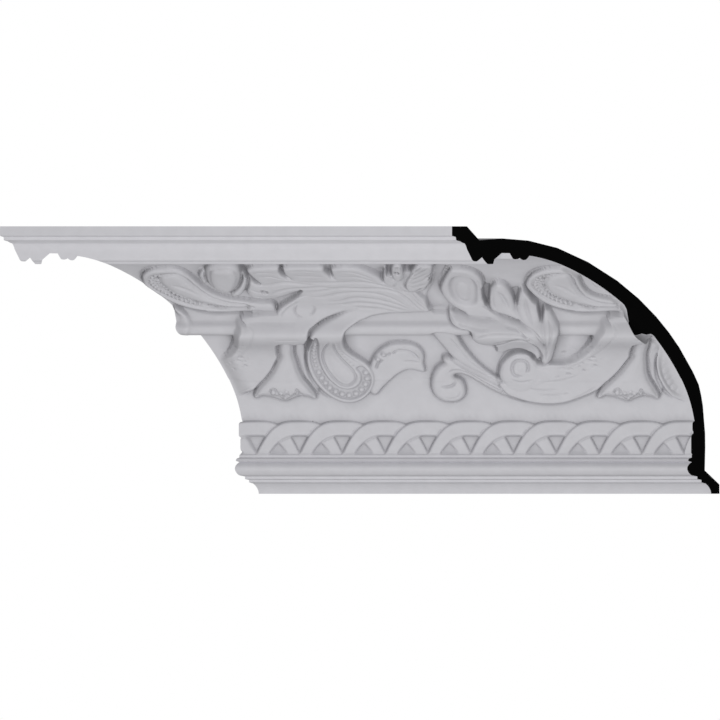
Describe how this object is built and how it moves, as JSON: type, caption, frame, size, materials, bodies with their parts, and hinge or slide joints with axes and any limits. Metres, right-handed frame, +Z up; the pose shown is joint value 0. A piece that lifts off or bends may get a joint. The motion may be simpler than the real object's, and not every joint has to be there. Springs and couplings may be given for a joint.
{
  "type": "crown moulding",
  "caption": "Deep cove crown moulding with carved acanthus, scrolls, bell flowers and beads over an interlaced band, mitred at both ends.",
  "frame": {"origin": "centre of the flat wall face, the strip at the foot of the back that is fixed against the wall", "axes": "+Y into the wall, +X along the moulding to the right as seen from the room, +Z up to the ceiling"},
  "size_m": [0.8074, 0.3, 0.3],
  "materials": {
    "primed_casting": "factory primed, off-white, low sheen"
  },
  "bodies": {
    "root": {"crown_moulding": "primed_casting"}
  },
  "joints": []
}
